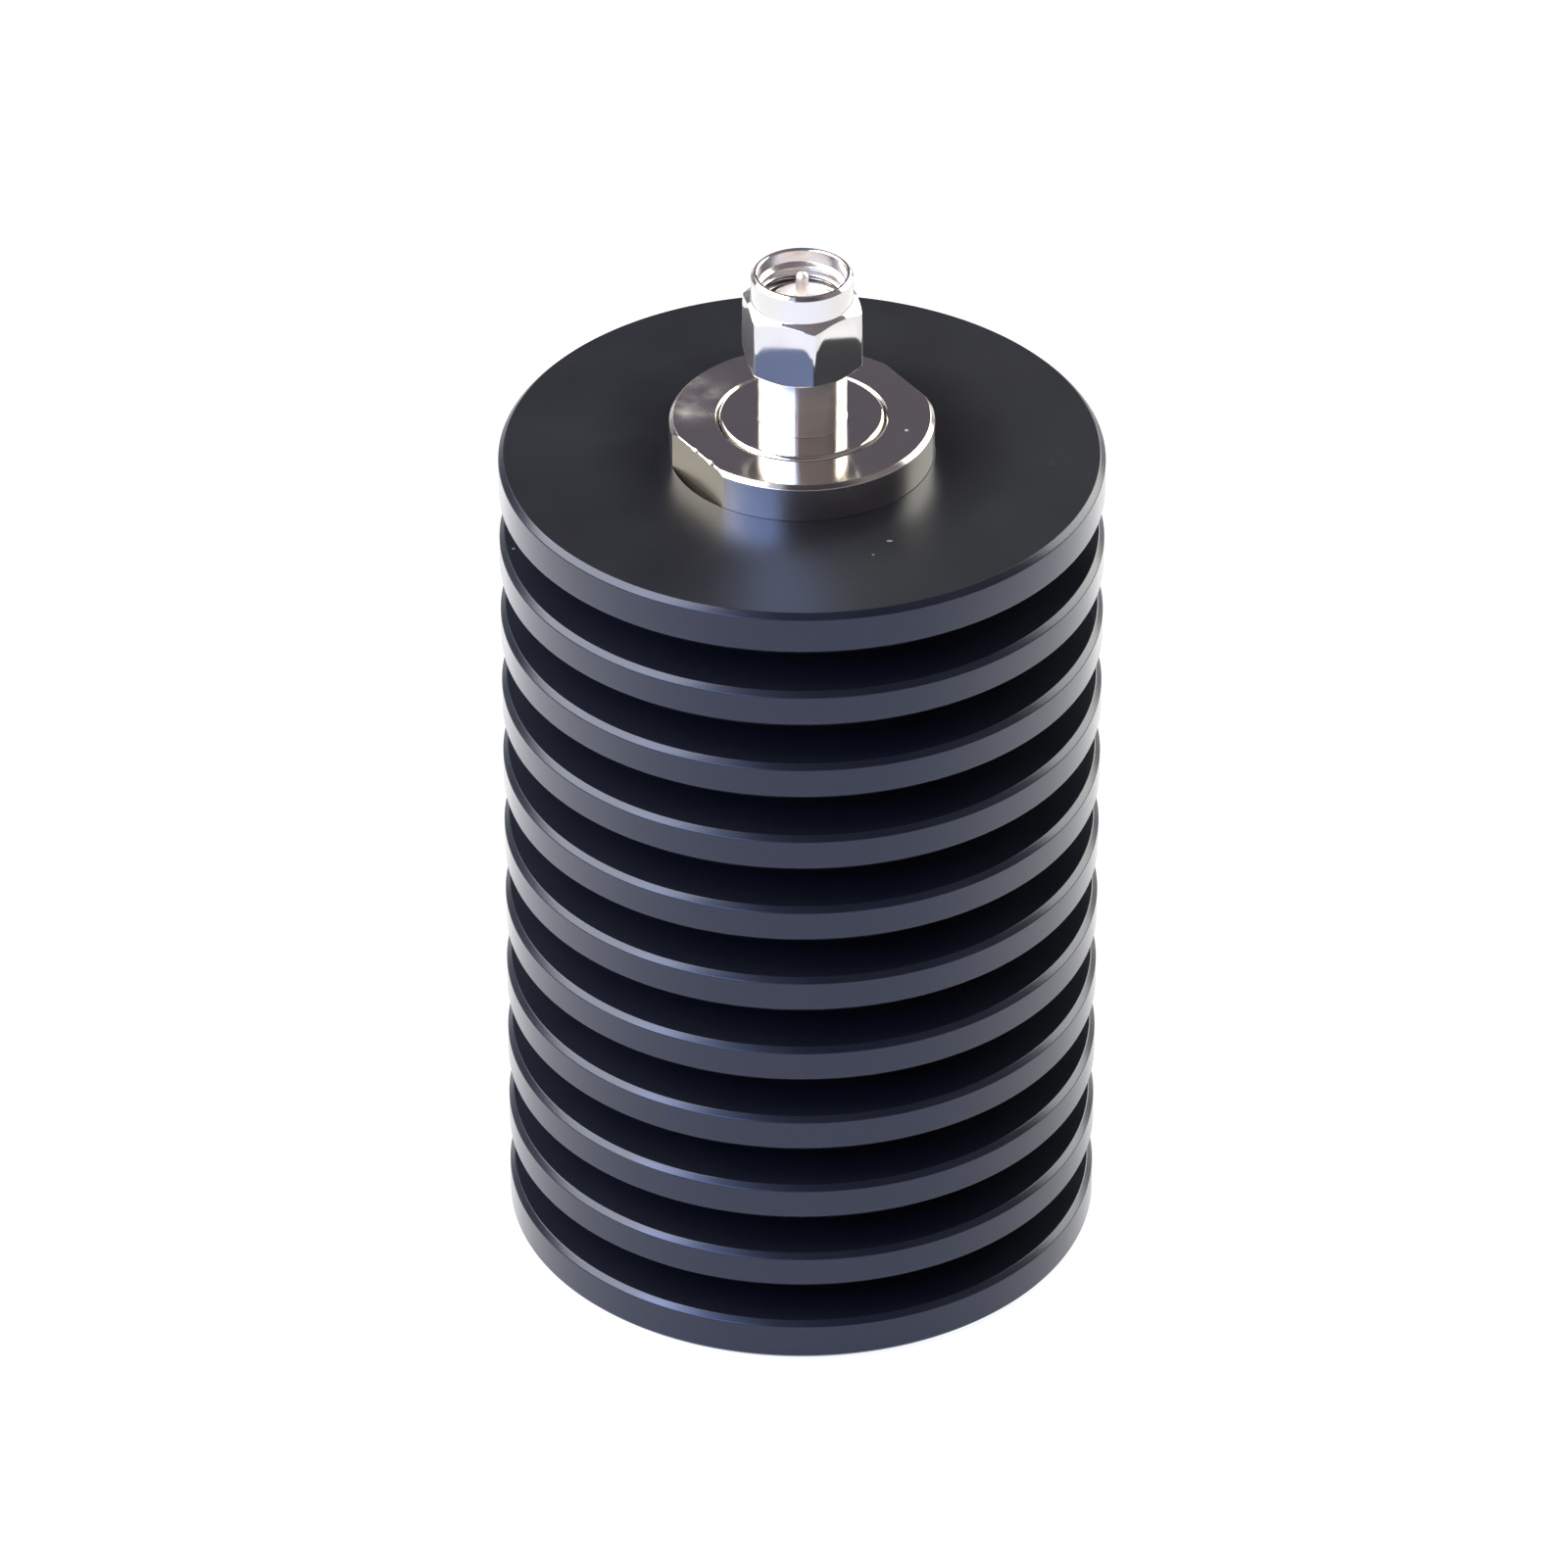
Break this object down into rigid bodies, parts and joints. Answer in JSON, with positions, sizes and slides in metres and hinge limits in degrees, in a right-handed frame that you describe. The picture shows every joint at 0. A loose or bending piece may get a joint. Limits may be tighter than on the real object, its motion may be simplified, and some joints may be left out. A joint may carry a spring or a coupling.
{
  "type": "rf dummy load",
  "caption": "Coaxial termination: a round-finned black heat sink holds a film resistor, fed through a plug with a hexagonal coupling nut that spins freely.",
  "frame": {"origin": "centre of the heat sink's flat base", "axes": "+Z along the axis from the base to the plug's mouth, -Y towards the front"},
  "size_m": [0.044, 0.044, 0.0808],
  "materials": {
    "black_anodised_aluminium": "satin",
    "nickel_plated_brass": "polished",
    "nickel_plated_nut": "polished",
    "spring_bronze": "satin",
    "silicone_rubber": "matte",
    "ptfe": "satin",
    "plated_contact": "polished",
    "copper": "satin",
    "chip_ceramic": "satin",
    "cover_ceramic": "matte"
  },
  "bodies": {
    "load": {"heat_sink": "black_anodised_aluminium", "clamp_ring": "nickel_plated_brass", "connector_shell": "nickel_plated_brass", "retaining_ring": "spring_bronze", "gasket": "silicone_rubber", "front_insulator": "ptfe", "rear_insulator": "ptfe", "centre_contact": "plated_contact", "resistor_carrier": "copper", "resistor_chip": "chip_ceramic", "film_cover": "cover_ceramic", "tab_lead": "plated_contact"},
    "nut": {"coupling_nut": "nickel_plated_nut"}
  },
  "joints": [
    {"name": "nut_spin", "type": "hinge", "parent": "load", "child": "nut", "pos_m": [0, 0, 0.0771], "axis": [0, 0, 1], "continuous": true}
  ]
}
